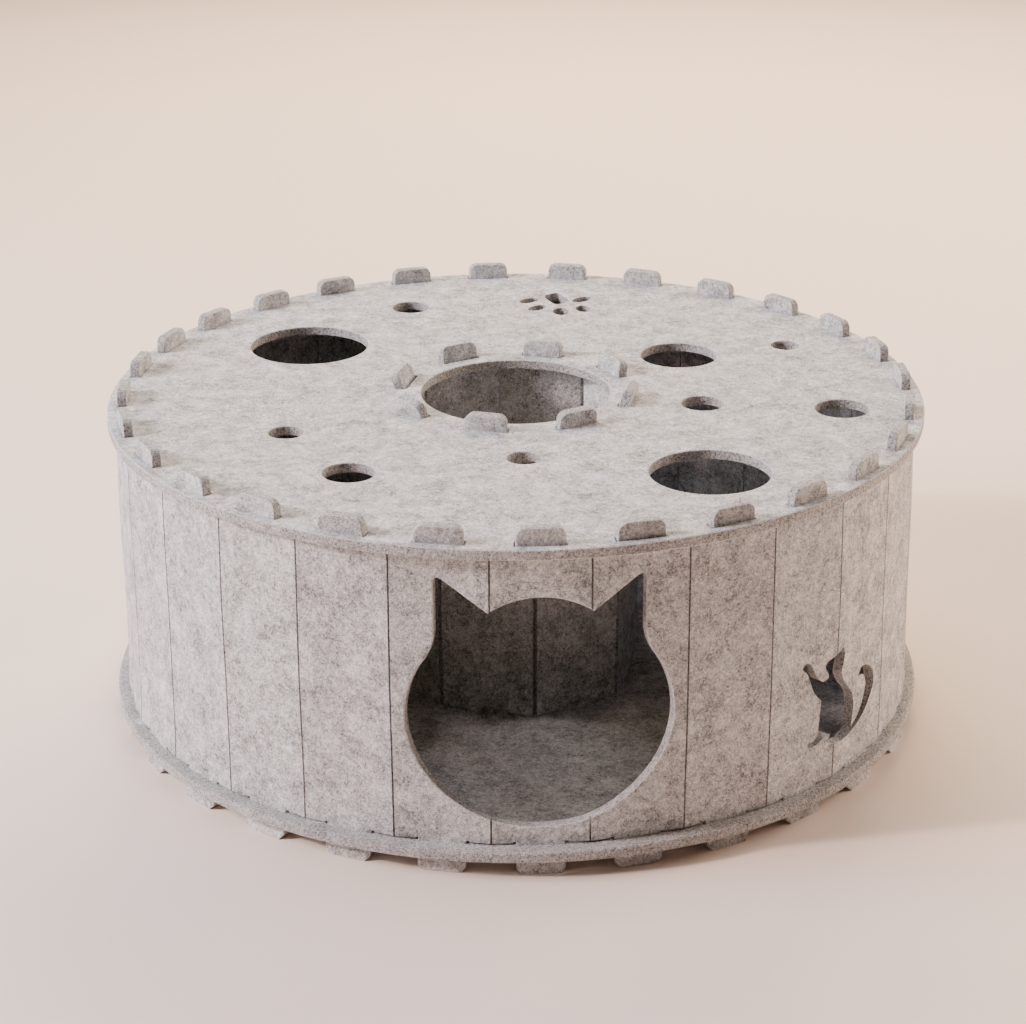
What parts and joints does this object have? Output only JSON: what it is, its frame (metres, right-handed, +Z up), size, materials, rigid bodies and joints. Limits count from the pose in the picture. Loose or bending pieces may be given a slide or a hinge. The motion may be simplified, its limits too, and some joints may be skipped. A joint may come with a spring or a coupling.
{
  "type": "cat play tunnel",
  "caption": "Round ring-shaped cat tunnel of stiff felt: two discs held by an outer and an inner wall, tab in slot, with a cat-head entrance and round peep holes.",
  "frame": {"origin": "on the ground under the middle of the ring", "axes": "+Z up through the middle of the ring, -Y towards the cat-head entrance, +X to the right of someone who looks at the entrance"},
  "size_m": [0.812, 0.812, 0.33],
  "materials": {
    "grey_felt": "light heather grey needled felt, matt, with fine fibres and a coarser darker grain on its cut edges"
  },
  "bodies": {
    "root": {"bottom_disc": "grey_felt", "outer_wall": "grey_felt", "inner_wall": "grey_felt", "top_disc": "grey_felt"}
  },
  "joints": []
}
